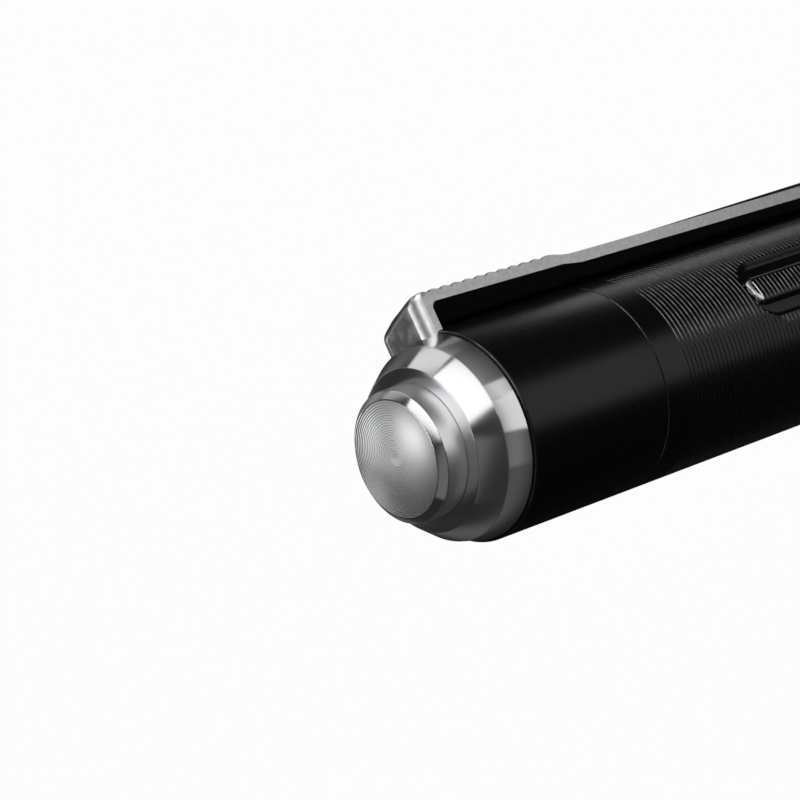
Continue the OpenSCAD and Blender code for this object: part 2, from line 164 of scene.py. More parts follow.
# finishes: speckle is scale, darkest and palest; grain is scale, least and most roughness, and relief
finishes = {
    "polishedSteel": {"colour": (0.74, 0.74, 0.75), "metallic": 1.0, "roughness": 0.18, "turning": 0.9},
    "turnedSteel": {"colour": (0.9, 0.9, 0.91), "metallic": 1.0, "roughness": 0.4, "turning": 0.15},
    # the short inward side of each turned ring is the same steel painted darker: painted shade
    "ringWallShade": {"colour": (0.38, 0.38, 0.385), "metallic": 1.0, "roughness": 0.45},
    "turnedFlat": {"colour": (0.74, 0.74, 0.75), "metallic": 1.0, "roughness": 0.16, "turning": 0.85},
    "satinSteel": {"colour": (0.6, 0.6, 0.605), "metallic": 1.0, "roughness": 0.32,
                   "grain": (7000.0, 0.31, 0.33, 0.4), "speckle": (3000.0, 0.56, 0.63)},
    # the leg's front flat is the clip's steel painted darker, painted shade, over a real random mottle
    "legSpeckleAndShade": {"colour": (0.22, 0.22, 0.224), "metallic": 1.0, "roughness": 0.36,
                 "speckle": (1300.0, 0.15, 0.29)},
    # the leg's rounded near corner is painted pale with a ragged mottled edge: a painted highlight
    "legCornerHighlight": {"colour": (0.92, 0.92, 0.93), "metallic": 1.0, "roughness": 0.4,
                  "speckle": (2200.0, 0.84, 0.97)},
    # the leg's far edge is the same steel painted darker: painted shade
    "legPaintedShade": {"colour": (0.16, 0.16, 0.163), "metallic": 1.0, "roughness": 0.3},
    # the steel clip's underside is painted black: painted shade
    "clipUnderShade": {"colour": (0.003, 0.003, 0.003), "metallic": 0.0, "roughness": 0.6, "specular": 0.2},
    "blackAnodised": {"colour": (0.003, 0.003, 0.0032), "metallic": 0.0, "roughness": 0.28, "specular": 0.3,
                      "grain": (5000.0, 0.265, 0.295, 0.02)},
    # edges facing the tail are worn metal that also carries a painted glint
    "wornEdgeAndGlint": {"colour": (0.11, 0.11, 0.113), "metallic": 1.0, "roughness": 0.2,
                 "speckle": (2200.0, 0.075, 0.14)},
    # the bar's bare tail end is worn metal that also carries a painted highlight
    "bareEdgeAndHighlight": {"colour": (0.7, 0.7, 0.71), "metallic": 1.0, "roughness": 0.3},
    "bevelSteel": {"colour": (0.5, 0.5, 0.505), "metallic": 1.0, "roughness": 0.14},
    "blackRubber": {"colour": (0.012, 0.012, 0.012), "metallic": 0.0, "roughness": 0.7,
                    "grain": (4000.0, 0.62, 0.8, 0.5)},
    "brass": {"colour": (0.78, 0.58, 0.26), "metallic": 1.0, "roughness": 0.28,
              "grain": (3000.0, 0.22, 0.36, 0.2)},
    "contactGilt": {"colour": (0.85, 0.67, 0.32), "metallic": 1.0, "roughness": 0.2,
                    "grain": (5000.0, 0.15, 0.26, 0.1)},
    "boardGreen": {"colour": (0.02, 0.14, 0.05), "metallic": 0.0, "roughness": 0.4,
                   "grain": (2500.0, 0.34, 0.48, 0.3)},
    "whitePlastic": {"colour": (0.75, 0.75, 0.73), "metallic": 0.0, "roughness": 0.45,
                     "grain": (3000.0, 0.4, 0.52, 0.2)},
    "darkPlastic": {"colour": (0.02, 0.02, 0.022), "metallic": 0.0, "roughness": 0.5,
                    "grain": (3000.0, 0.44, 0.58, 0.3)},
    "reflectorCoat": {"colour": (0.92, 0.92, 0.92), "metallic": 1.0, "roughness": 0.03,
                      "grain": (2000.0, 0.02, 0.05, 0.02)},
    "emitterPhosphor": {"colour": (0.85, 0.72, 0.2), "metallic": 0.0, "roughness": 0.3,
                        "grain": (6000.0, 0.25, 0.4, 0.4)},
    "cellWrap": {"colour": (0.12, 0.12, 0.13), "metallic": 0.2, "roughness": 0.35,
                 "grain": (1500.0, 0.3, 0.42, 0.1)},
    "lensGlass": {"colour": (0.97, 0.99, 1.0), "metallic": 0.0, "roughness": 0.02, "clear": 1.5},
}


def makeFinish(name):
    setting = finishes[name]
    material = bpy.data.materials.new(name)
    material.use_nodes = True
    sockets = material.node_tree.nodes["Principled BSDF"].inputs
    sockets["Base Color"].default_value = (*setting["colour"], 1.0)
    sockets["Metallic"].default_value = setting["metallic"]
    sockets["Roughness"].default_value = setting["roughness"]
    if "specular" in setting:
        sockets["Specular IOR Level"].default_value = setting["specular"]
    if "clear" in setting:
        sockets["Transmission Weight"].default_value = 1.0
        sockets["IOR"].default_value = setting["clear"]
    if "turning" in setting:
        addTurning(material, setting["turning"])
    if "grain" in setting:
        placeGroup(material, grainGroup, setting["grain"], {"Roughness": "Roughness", "Normal": "Normal"})
    if "speckle" in setting:
        placeGroup(material, speckleGroup, setting["speckle"], {"Color": "Base Color"})
    return material


finish = {name: makeFinish(name) for name in finishes}

nodeFinishes = {
    "front_bezel": "polishedSteel", "lens_gasket": "blackRubber", "lens": "lensGlass",
    "reflector": "reflectorCoat", "led_gasket": "whitePlastic", "led_emitter": "emitterPhosphor",
    "led_board": "whitePlastic", "heat_sink": "brass", "driver_board": "boardGreen", "driver_ring": "brass",
    "positive_spring": "contactGilt", "head_housing": "blackAnodised", "head_seal": "blackRubber",
    "barrel": "blackAnodised", "front_cell": "cellWrap", "rear_cell": "cellWrap",
    "tail_spring": "contactGilt", "tail_sleeve": "blackAnodised", "tail_seal": "blackRubber",
    "switch_board": "boardGreen", "switch_contact": "contactGilt", "switch_housing": "darkPlastic",
    "switch_plunger": "whitePlastic", "return_spring": "satinSteel", "tail_nut": "polishedSteel",
    "clip_ring": "satinSteel", "clip_arm": "satinSteel", "tail_button": "turnedSteel",
    "button_seal": "blackRubber",
}
for nodeName, finishName in nodeFinishes.items():
    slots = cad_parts[nodeName].data.materials
    slots.clear()
    slots.append(finish[finishName])
print("materials done")


# shared shape helpers

def finishPiece(name, work, finishNames, body, nodes, sharpAngle):
    mesh = bpy.data.meshes.new(name)
    if not any(edge.is_boundary for edge in work.edges):  # an open sheet already faces out
        bmesh.ops.recalc_face_normals(work, faces=work.faces)
    work.to_mesh(mesh)
    work.free()
    for finishName in finishNames:
        mesh.materials.append(finish[finishName])
    mesh.polygons.foreach_set("use_smooth", [True] * len(mesh.polygons))
    mesh.set_sharp_from_angle(angle=math.radians(sharpAngle))
    piece = bpy.data.objects.new(name, mesh)
    scene.collection.objects.link(piece)
    if body:
        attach(piece, body)
    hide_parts(*nodes)
    return piece


def lathe(profile, steps, closed):
    work = bmesh.new()
    points = [work.verts.new((radius * mm, 0, height * mm)) for radius, height in profile]
    pairs = list(zip(points, points[1:] + points[:1])) if closed else list(zip(points, points[1:]))
    edges = [work.edges.new(pair) for pair in pairs]
    bmesh.ops.spin(work, geom=points + edges, cent=(0, 0, 0), axis=(0, 0, 1), dvec=(0, 0, 0),
                   angle=math.tau, steps=steps, use_merge=True, use_duplicate=False)
    bmesh.ops.remove_doubles(work, verts=work.verts, dist=1e-8)
    return work


def rounded(points, radius, count=3, most=0.45):
    # every corner of an outline becomes a small arc, which takes at most that share of a side
    result = []
    total = len(points)
    for index in range(total):
        before, here, after = (Vector(points[index - 1]), Vector(points[index]),
                               Vector(points[(index + 1) % total]))
        back, ahead = before - here, after - here
        reach = min(radius, back.length * most, ahead.length * most)
        if here[0] < 1e-6 or reach < 1e-6:
            result.append(tuple(here))
            continue
        start, end = here + back.normalized() * reach, here + ahead.normalized() * reach
        for k in range(count + 1):
            share = k / count
            mix = start * (1 - share) ** 2 + here * 2 * share * (1 - share) + end * share ** 2
            result.append(tuple(mix))
    return result


def spaced(first, last, parts):
    # evenly spaced values, with both ends
    return [first + (last - first) * k / parts for k in range(parts + 1)]


wearAndGlintEdges = {"most": 0.87, "outside": 6.1}


def markEdges(piece, least):
    # the edges that face the tail, by how far their normals turn to it: worn metal that also carries a
    # painted glint
    for polygon in piece.data.polygons:
        outside = math.hypot(polygon.center.x, polygon.center.y) > wearAndGlintEdges["outside"] * mm
        if outside and least < polygon.normal.z < wearAndGlintEdges["most"]:
            polygon.material_index = 1


# tail button with a turned face
button = {"radius": 4.045, "faceRadius": 3.59, "chamfer": 0.385, "flangeRadius": 4.65, "flangeLow": 128.8,
          "flangeHigh": 129.5, "ringPitch": 0.15, "ringShare": 0.78, "ringInset": 0.03, "lean": 1.0,
          "leanMore": 19.0, "leanPower": 1.4, "wallFrom": 0.4, "centreDip": 0.003, "edge": 0.05,
          "steps": 160, "sharp": 9, "chamferFacing": 0.1, "wallFacing": -0.05}
face = levels["face"]
side = [(0, button["flangeLow"]), (button["flangeRadius"], button["flangeLow"]),
        (button["flangeRadius"], button["flangeHigh"]), (button["radius"], button["flangeHigh"]),
        (button["radius"], face - button["chamfer"]), (button["faceRadius"], face), (0, face)]
outline = rounded(side, button["edge"])
outline = [point for point in outline if point[0] > 1e-6 or point[1] < face - button["edge"]]
# each turned ring has a wide side that leans out and a short side that leans in
radius = button["faceRadius"] - button["edge"] - button["ringInset"]
while radius > button["ringPitch"]:
    lean = button["lean"] + button["leanMore"] * (radius / button["faceRadius"]) ** button["leanPower"]
    fall = math.tan(math.radians(lean)) * button["ringPitch"] * button["ringShare"]
    outline.append((radius, face - fall))
    outline.append((radius - button["ringPitch"] * button["ringShare"], face))
    radius -= button["ringPitch"]
outline.append((0.0, face - button["centreDip"]))
work = lathe(outline, button["steps"], False)
buttonPiece = finishPiece("tailButton", work, ["turnedSteel", "polishedSteel", "ringWallShade"], "button",
                          ["tail_button"], button["sharp"])
for polygon in buttonPiece.data.polygons:
    centre = polygon.center
    away = Vector((centre.x, centre.y, 0))
    if away.length > (button["faceRadius"] - button["edge"]) * mm:
        polygon.material_index = 1 if polygon.normal.z > button["chamferFacing"] else 0
    # the short inward side of each ring is painted darker steel: painted shade
    elif away.length > button["wallFrom"] * mm:
        if polygon.normal.dot(away.normalized()) < button["wallFacing"]:
            polygon.material_index = 2
print("button done")


# return spring under the button; on the real light it shortens as the button is pressed
spring = {"press": 1.1, "sharp": 40}
work = bmesh.new()
work.from_mesh(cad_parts["return_spring"].data)
bmesh.ops.remove_doubles(work, verts=work.verts, dist=1e-7)
springPiece = finishPiece("returnSpring", work, ["satinSteel"], "tail_cap", ["return_spring"],
                          spring["sharp"])
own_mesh(springPiece)
print("spring done")


# nut around the button
nut = {"holeRadius": 4.075, "flatRadius": 5.0, "coneRadius": 5.945, "tubeRadius": 5.35,
       "chamberRadius": 4.75, "low": 127.6, "lip": 130.0, "top": 132.1, "edge": 0.03, "steps": 160,
       "sharp": 40, "flatFacing": 0.99, "flatReach": 0.02}
outline = rounded([(nut["chamberRadius"], nut["low"]), (nut["tubeRadius"], nut["low"]),
                   (nut["tubeRadius"], levels["band"]), (nut["coneRadius"], levels["band"]),
                   (nut["flatRadius"], nut["top"]), (nut["holeRadius"], nut["top"]),
                   (nut["holeRadius"], nut["lip"]), (nut["chamberRadius"], nut["lip"])], nut["edge"])
work = lathe(outline, nut["steps"], True)
nutPiece = finishPiece("tailNut", work, ["polishedSteel", "turnedFlat"], "tail_cap",
                       ["tail_nut"], nut["sharp"])
for polygon in nutPiece.data.polygons:
    if polygon.normal.z > nut["flatFacing"] and polygon.center.z > (nut["top"] - nut["flatReach"]) * mm:
        polygon.material_index = 1
print("nut done")


# tail sleeve
sleeve = {"boreRadius": 4.6, "spigotRadius": 5.75, "bayRadius": 5.4, "low": 112.89, "bayLow": 123.3,
          "seamChamfer": 0.05, "endRound": 0.19, "edge": 0.02, "steps": 160, "sharp": 25, "edgeFacing": 0.7}
joint, seam = levels["joint"], levels["seam"]
outline = rounded([(sleeve["boreRadius"], sleeve["low"]), (sleeve["spigotRadius"], sleeve["low"]),
                   (sleeve["spigotRadius"], seam), (bodyRadius - sleeve["seamChamfer"], seam),
                   (bodyRadius, seam + sleeve["seamChamfer"]), (bodyRadius, joint),
                   (sleeve["bayRadius"], joint), (sleeve["bayRadius"], sleeve["bayLow"]),
                   (sleeve["boreRadius"], sleeve["bayLow"])], sleeve["edge"])
# the tail edge is rounder than the others
reach = 1.5 * sleeve["edge"]
corner = [k for k, point in enumerate(outline) if point[0] > bodyRadius - reach and point[1] > joint - reach]
arc = [(bodyRadius - sleeve["endRound"] * (1 - math.cos(math.radians(turn))),
        joint - sleeve["endRound"] * (1 - math.sin(math.radians(turn)))) for turn in range(0, 91, 10)]
outline[corner[0]:corner[-1] + 1] = arc
work = lathe(outline, sleeve["steps"], True)
sleevePiece = finishPiece("tailSleeve", work, ["blackAnodised", "wornEdgeAndGlint"], "tail_cap",
                          ["tail_sleeve"], sleeve["sharp"])
# the sleeve's tail edge is worn metal with a painted glint where it faces the key lamp
markEdges(sleevePiece, sleeve["edgeFacing"])
print("sleeve done")


# barrel: fine turned grooves and two sunk ovals, as one grid over height and angle
barrel = {"plainTo": 115.45, "pitch": 0.365, "grooveDepth": 0.04, "landShare": 0.77, "wallShare": 0.18,
          "chamfer": 0.065, "chamferShare": 0.67, "ovalAngle": -74.0, "ovalTop": 108.1,
          "ovalLength": 19.5, "ovalWidth": 4.5, "barWidth": 1.2, "barGap": 0.92, "ovalDepth": 0.4,
          "wall": 0.4, "barRound": 0.5, "split": 80.2, "frontPlain": 19.0, "frontChamfer": 0.1,
          "endWall": 0.7, "ovalTurns": (0.0, 180.0), "ovalReach": 24.0, "fineReach": 21.0,
          "fineStep": 0.6, "coarseStep": 3.0, "endInset": 1.3, "endReach": 1.7, "endParts": 5,
          "rowGap": 0.05, "spotBefore": 0.22, "spotAfter": 0.3, "spotFacing": 0.12, "spotReach": 7.0,
          "sharp": 25, "edgeFacing": 0.2}


def fromOval(angle):
    # the angle to the nearer oval's middle line
    turns = [angle - barrel["ovalAngle"] - turn for turn in barrel["ovalTurns"]]
    return min(((turn + 180.0) % 360.0 - 180.0 for turn in turns), key=abs)


def stadium(along, across, half, radius):
    # distance from a point to a long round-ended shape's middle line
    return math.hypot(max(abs(along) - (half - radius), 0.0), across)


def ovalSink(height, across):
    # depth share of an oval's channel at a point of the unrolled surface
    half = barrel["ovalLength"] / 2
    along = height - (barrel["ovalTop"] - half)
    outer, inner = barrel["ovalWidth"] / 2, barrel["barWidth"] / 2
    edge = outer - stadium(along, across, half, outer)
    lip = min(max(edge / barrel["wall"], 0.0), 1.0)
    bar = stadium(along, across, half - barrel["barGap"], inner) - inner
    share = min(max(bar / barrel["barRound"], 0.0), 1.0)
    return min(lip * lip * (3 - 2 * lip), 1.0 - math.sqrt(1.0 - share * share))


def barrelRows(low, topPlain):
    # each groove: plain land, a wall that faces the tail, and a short steep step back
    rows = []
    pitch = barrel["pitch"]
    ovalLow = barrel["ovalTop"] - barrel["ovalLength"]
    ends = [barrel["ovalTop"] - barrel["endInset"], ovalLow + barrel["endInset"]]
    for k in range(int((topPlain - low) / pitch) - 1, -1, -1):
        base = topPlain - (k + 1) * pitch
        nearEnd = min(abs(base - end) for end in ends) < barrel["endReach"]
        parts = barrel["endParts"] if nearEnd else 1  # more rows over an oval's round ends
        for part in range(parts + 1):
            rows.append((base + barrel["landShare"] * pitch * part / parts, 0.0))
        rows.append((base + (barrel["landShare"] + barrel["wallShare"]) * pitch, barrel["grooveDepth"]))
    return rows


def barrelMesh(rows, columns, sinkOn):
    work = bmesh.new()
    count = len(columns)
    grid = []
    for height, depth in rows:
        line = []
        for angle in columns:
            radius = bodyRadius - depth
            across = fromOval(angle)
            if sinkOn and abs(across) < barrel["ovalReach"]:
                sink = ovalSink(height, math.radians(across) * bodyRadius)
                radius = min(radius, bodyRadius - sink * barrel["ovalDepth"])
            turn = math.radians(angle)
            point = (radius * mm * math.cos(turn), radius * mm * math.sin(turn), height * mm)
            line.append(work.verts.new(point))
        grid.append(line)
    for low, high in zip(grid, grid[1:]):
        for k in range(count):
            work.faces.new((low[k], low[(k + 1) % count], high[(k + 1) % count], high[k]))
    return work


def fineColumns():
    # the columns stand closer over the ovals
    columns = []
    angle = -180.0
    while angle < 180.0 - 1e-6:
        columns.append(angle)
        nearOval = abs(fromOval(angle)) < barrel["fineReach"]
        angle += barrel["fineStep"] if nearOval else barrel["coarseStep"]
    return columns


chamfer = barrel["chamfer"]
rearRows = barrelRows(barrel["split"], barrel["plainTo"])
rearRows += [(barrel["plainTo"], 0.0), (seam - chamfer * barrel["chamferShare"], 0.0), (seam, chamfer),
             (seam, barrel["endWall"])]
work = barrelMesh(rearRows, fineColumns(), True)
rearPiece = finishPiece("barrelRear", work, ["blackAnodised", "wornEdgeAndGlint", "bareEdgeAndHighlight"], "light_body",
                        ["barrel"], barrel["sharp"])
markEdges(rearPiece, barrel["edgeFacing"])
# the bar's tail end is worn bare, and where it faces the tail it also carries a painted highlight
barTop = barrel["ovalTop"] - barrel["barGap"]
for polygon in rearPiece.data.polygons:
    height = polygon.center.z / mm
    onEnd = barTop - barrel["spotBefore"] < height < barTop + barrel["spotAfter"]
    if onEnd and polygon.normal.z > barrel["spotFacing"]:
        angle = math.degrees(math.atan2(polygon.center.y, polygon.center.x))
        if abs(fromOval(angle)) < barrel["spotReach"]:
            polygon.material_index = 2
headEnd, frontChamfer = levels["head"], barrel["frontChamfer"]
frontRows = [(headEnd, barrel["endWall"]), (headEnd, frontChamfer), (headEnd + frontChamfer, 0.0),
             (barrel["frontPlain"], 0.0)]
frontRows += barrelRows(barrel["frontPlain"] + barrel["rowGap"], rearRows[0][0])
frontRows += [rearRows[0]]
frontColumns = [k * barrel["coarseStep"] for k in range(round(360.0 / barrel["coarseStep"]))]
work = barrelMesh(frontRows, frontColumns, False)
frontPiece = finishPiece("barrelFront", work, ["blackAnodised", "wornEdgeAndGlint"], "light_body",
                         ["barrel"], barrel["sharp"])
markEdges(frontPiece, barrel["edgeFacing"])
print("barrel done", len(rearPiece.data.polygons), len(frontPiece.data.polygons))


# pocket clip: base ring, leg, thumb pad and bar as one bent piece
# along is measured from the sleeve's edge towards the head, and heights from the light's axis
clip = {"halfWidth": 2.3, "bandRadius": 6.31, "bandNutRadius": 5.945, "bandInner": 5.4, "rootHeight": 5.6,
        "front": -0.7, "corner": 0.65, "cornerWide": 1.1, "frontRound": 0.34, "roundReach": 0.83,
        "rimDrop": 0.06, "noseSoft": 0.35, "legBack": 0.42, "innerRound": 0.5, "stationStep": 0.06,
        "top": 8.62, "topFall": 0.011, "ridgeMid": 0.35, "ridgeSkew": 0.46, "ramp": 0.68, "noseEnd": 1.6,
        "padEnd": 10.35, "slopeEnd": 12.4, "barTop": 8.2, "bevelEnd": 34.0, "bevelFall": 0.23,
        "bevelRise": 0.16, "bevelWidth": 0.8, "padLow": 7.86, "padLowEnd": 7.68, "lowStep": 11.5,
        "lowStepEnd": 13.0, "barLow": 7.46, "barLowEnd": 7.23, "under": 6.7, "notchFirst": -0.26,
        "notchPitch": 0.941, "notchCount": 12, "notchDepth": 0.17, "notchRise": 0.22, "notchPower": 1.3,
        "bevelPower": 0.75, "lowReach": 20.0, "tipThick": 0.2, "edgeLeast": 0.05, "bandStep": 0.05,
        "bandRise": 0.06, "bandEdge": 0.04, "sideFacing": 0.985, "farFacing": 0.04, "nearFacing": -0.1,
        "underFacing": -0.3, "topFacing": 0.5, "barEnd": 40.0, "bumpMid": 41.5, "bumpHeight": 6.62,
        "bumpEnd": 43.0, "tipEnd": 46.4, "tipUnder": 7.5, "cornerStep": 6, "flatParts": 7, "slopeParts": 14,
        "barParts": 27, "innerStep": 10, "legParts": 24, "roundParts": 9, "noseParts": 44, "sharp": 32}


def lerp(a, b, share):
    return a + (b - a) * min(max(share, 0.0), 1.0)


def softMin(a, b, width):
    gap = max(width - abs(a - b), 0.0) / width
    return min(a, b) - gap * gap * width / 4


def notchFall(along):
    # each tooth rises steeply towards the tail and slopes away towards the head
    share = (along - clip["notchFirst"]) / clip["notchPitch"]
    if share < 0.0 or share >= clip["notchCount"]:
        return 0.0
    part = share % 1.0
    if share >= clip["notchCount"] - 1:
        return clip["notchDepth"] * max(1.0 - part / clip["notchRise"], 0.0)
    if part < clip["notchRise"]:
        return clip["notchDepth"] * (1.0 - math.sin(part / clip["notchRise"] * math.pi / 2))
    return clip["notchDepth"] * ((part - clip["notchRise"]) / (1.0 - clip["notchRise"])) ** clip["notchPower"]


def clipTop(along, across):
    pad = clip["top"] - clip["topFall"] * along
    ridge = clip["ridgeMid"] + clip["ridgeSkew"] * across
    nose = clip["top"] - clip["ramp"] * (ridge - along)
    if along <= clip["padEnd"]:
        return softMin(pad - notchFall(along), nose, clip["noseSoft"])
    share = (along - clip["slopeEnd"]) / (clip["bevelEnd"] - clip["slopeEnd"])
    grown = min(max(share, 0.0), 1.0) ** clip["bevelPower"]
    inside = min((clip["halfWidth"] - abs(across)) / clip["bevelWidth"], 1.0)
    bar = clip["barTop"] + grown * lerp(-clip["bevelFall"], clip["bevelRise"], inside)
    past = (along - clip["padEnd"]) / (clip["slopeEnd"] - clip["padEnd"])
    bend = past * past * (3 - 2 * past) if past < 1 else 1.0
    return lerp(clip["top"] - clip["topFall"] * clip["padEnd"], bar, bend)


def clipLow(along):
    # height of the side's lower edge
    if along <= clip["lowStep"]:
        return lerp(clip["padLow"], clip["padLowEnd"], along / clip["lowStep"])
    if along <= clip["lowStepEnd"]:
        return lerp(clip["padLowEnd"], clip["barLow"],
                    (along - clip["lowStep"]) / (clip["lowStepEnd"] - clip["lowStep"]))
    low = lerp(clip["barLow"], clip["barLowEnd"], (along - clip["lowStepEnd"]) / clip["lowReach"])
    if along > clip["barEnd"]:
        share = (along - clip["barEnd"]) / (clip["tipEnd"] - clip["barEnd"])
        low = lerp(low, clip["tipUnder"] + clip["tipThick"], share)
    return low


def clipUnder(along, across):
    if along <= clip["barEnd"]:
        base = clip["under"]
    elif along <= clip["bumpMid"]:
        base = lerp(clip["under"], clip["bumpHeight"],
                    (along - clip["barEnd"]) / (clip["bumpMid"] - clip["barEnd"]))
    else:
        base = lerp(clip["bumpHeight"], clip["tipUnder"],
                    (along - clip["bumpMid"]) / (clip["tipEnd"] - clip["bumpMid"]))
    low = max(clipLow(along), base + clip["edgeLeast"])
    gap = max(clip["innerRound"] - (along - clip["legBack"]), 0.0)
    low -= clip["innerRound"] - math.sqrt(clip["innerRound"] ** 2 - gap ** 2)
    return base + max(0.0, abs(across) - (clip["halfWidth"] - (low - base)))


def clipFront(across):
    # the leg's front, with its rounded corners
    inset = max(0.0, abs(across) - (clip["halfWidth"] - clip["cornerWide"])) / clip["cornerWide"]
    return clip["front"] + clip["corner"] * (1 - math.sqrt(max(1 - inset ** 2, 0.0)))


def clipPoint(along, across, height):
    return (height * mm, across * mm, (joint - along) * mm)


def clipMesh():
    work = bmesh.new()
    half, corner = clip["halfWidth"], clip["cornerWide"]
    turns = [math.radians(turn) for turn in range(0, 91, clip["cornerStep"])]
    arc = [half - corner + corner * math.sin(turn) for turn in turns]
    flat = spaced(corner - half, half - corner, 2 * clip["flatParts"])[1:-1]
    across = [-s for s in reversed(arc)] + flat + arc
    padStations = int((clip["padEnd"] - clip["noseEnd"]) / clip["stationStep"])
    stations = [clip["noseEnd"] + clip["stationStep"] * k for k in range(1, padStations)]
    stations += spaced(clip["padEnd"], clip["lowStepEnd"], clip["slopeParts"])
    stations += spaced(clip["lowStepEnd"], clip["barEnd"], clip["barParts"])[1:]
    stations += [clip["bumpMid"], clip["bumpEnd"], (clip["bumpEnd"] + clip["tipEnd"]) / 2, clip["tipEnd"]]
    bottoms = [clip["legBack"] + clip["innerRound"] * (1 - math.cos(math.radians(turn)))
               for turn in range(0, 91, clip["innerStep"])]
    bottoms += [x for x in stations if x > clip["noseEnd"]]
    lines = []
    reach = clip["frontRound"]
    for s in across:
        start = clipFront(s)
        rim = clipTop(start, s) - clip["rimDrop"]
        after = start + reach * clip["roundReach"]
        heights = spaced(clip["rootHeight"], rim - reach, clip["legParts"])
        points = [clipPoint(start, s, height) for height in heights]
        for t in spaced(0.0, 1.0, clip["roundParts"])[1:-1]:  # the round between the leg's front and the nose
            x = start * (1 - t * t) + after * t * t
            height = (rim - reach) * (1 - t) ** 2 + 2 * t * (1 - t) * rim + clipTop(after, s) * t * t
            points.append(clipPoint(x, s, height))
        tops = spaced(after, clip["noseEnd"], clip["noseParts"]) + stations
        points += [clipPoint(x, s, clipTop(x, s)) for x in tops]
        points += [clipPoint(x, s, clipUnder(x, s)) for x in reversed(bottoms)]
        points.append(clipPoint(clip["legBack"], s, clip["rootHeight"]))
        lines.append([work.verts.new(point) for point in points])
    count = len(lines[0])
    for a, b in zip(lines, lines[1:]):
        for k in range(count):
            work.faces.new((a[k], a[(k + 1) % count], b[(k + 1) % count], b[k]))
    work.faces.new(lines[0])
    work.faces.new(lines[-1])
    return work


work = clipMesh()
legFaces = len(work.faces)
bmesh.ops.recalc_face_normals(work, faces=work.faces)
bandOutline = rounded([(clip["bandInner"], joint), (clip["bandRadius"] - clip["bandStep"], joint),
                       (clip["bandRadius"], joint + clip["bandRise"]),
                       (clip["bandNutRadius"], levels["band"]), (clip["bandInner"], levels["band"])],
                      clip["bandEdge"])
band = lathe(bandOutline, nut["steps"], True)
bandMesh = bpy.data.meshes.new("bandPart")
band.to_mesh(bandMesh)
band.free()
work.from_mesh(bandMesh)
clipFinishes = ["satinSteel", "polishedSteel", "clipUnderShade", "legSpeckleAndShade", "bevelSteel", "legPaintedShade",
                "legCornerHighlight"]
clipPiece = finishPiece("pocketClip", work, clipFinishes, None, ["clip_ring", "clip_arm"],
                        clip["sharp"])
for polygon in clipPiece.data.polygons:
    normal = polygon.normal
    along = joint - polygon.center.z / mm
    chosen = "satinSteel"
    if along < clip["noseEnd"] and abs(normal.y) < clip["sideFacing"]:
        if polygon.index >= legFaces:
            chosen = "polishedSteel"
        # the far edge of the leg's front is painted darker: painted shade
        elif normal.y > clip["farFacing"]:
            chosen = "legPaintedShade"
        else:
            # the rest of the leg's front flat is painted darker (painted shade); its rounded near corner is
            # painted pale (painted highlight)
            chosen = "legCornerHighlight" if normal.y < clip["nearFacing"] else "legSpeckleAndShade"
    # the clip's underside is painted black: painted shade
    if normal.x < clip["underFacing"] and along > clip["legBack"]:
        chosen = "clipUnderShade"
    if normal.x > clip["topFacing"] and along > clip["slopeEnd"]:
        chosen = "bevelSteel"
    polygon.material_index = clipFinishes.index(chosen)
bpy.data.meshes.remove(bandMesh)
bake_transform(clipPiece)
print("clip done", len(clipPiece.data.polygons))


# floor, light and camera
# sizes and reaches here are in metres
studio = {"floorSize": 3.0, "aimHeight": 0.125, "worldGrey": 0.025, "floorGrey": 0.62,
          "floorGlow": 0.972, "nearGlow": 0.012, "farGlow": 0.12, "nearReach": 0.22, "farReach": 0.42}
work = bmesh.new()
bmesh.ops.create_grid(work, x_segments=1, y_segments=1, size=studio["floorSize"] / 2)
floorMesh = bpy.data.meshes.new("floor")
work.to_mesh(floorMesh)
work.free()
floor = bpy.data.objects.new("floor", floorMesh)
scene.collection.objects.link(floor)
floorMaterial = bpy.data.materials.new("paleFloor")
floorMaterial.use_nodes = True
nodes, links = floorMaterial.node_tree.nodes, floorMaterial.node_tree.links
nodes.clear()
output = nodes.new("ShaderNodeOutputMaterial")
lit = nodes.new("ShaderNodeBsdfDiffuse")
lit.inputs["Color"].default_value = (studio["floorGrey"],) * 3 + (1.0,)
# in reflections the floor is dark near the light and paler further out
mirrored = nodes.new("ShaderNodeEmission")
place = nodes.new("ShaderNodeTexCoord")
reach = nodes.new("ShaderNodeVectorMath")
reach.operation = "LENGTH"
fade = nodes.new("ShaderNodeMapRange")
fade.interpolation_type = "SMOOTHSTEP"
fade.inputs["From Min"].default_value = studio["nearReach"]
fade.inputs["From Max"].default_value = studio["farReach"]
fade.inputs["To Min"].default_value = studio["nearGlow"]
fade.inputs["To Max"].default_value = studio["farGlow"]
links.new(place.outputs["Object"], reach.inputs[0])
links.new(reach.outputs["Value"], fade.inputs["Value"])
links.new(fade.outputs["Result"], mirrored.inputs["Strength"])
seen = nodes.new("ShaderNodeMixShader")
glow = nodes.new("ShaderNodeEmission")
glow.inputs["Color"].default_value = (1.0, 1.0, 1.0, 1.0)
glow.inputs["Strength"].default_value = 1.0
light = nodes.new("ShaderNodeLightPath")
share = nodes.new("ShaderNodeMath")
share.operation = "MULTIPLY"
share.inputs[1].default_value = studio["floorGlow"]
mix = nodes.new("ShaderNodeMixShader")
links.new(light.outputs["Is Camera Ray"], share.inputs[0])
links.new(share.outputs[0], mix.inputs[0])
links.new(light.outputs["Is Glossy Ray"], seen.inputs[0])
links.new(lit.outputs[0], seen.inputs[1])
links.new(mirrored.outputs[0], seen.inputs[2])
links.new(seen.outputs[0], mix.inputs[1])
links.new(glow.outputs[0], mix.inputs[2])
links.new(mix.outputs[0], output.inputs["Surface"])
floorMesh.materials.append(floorMaterial)

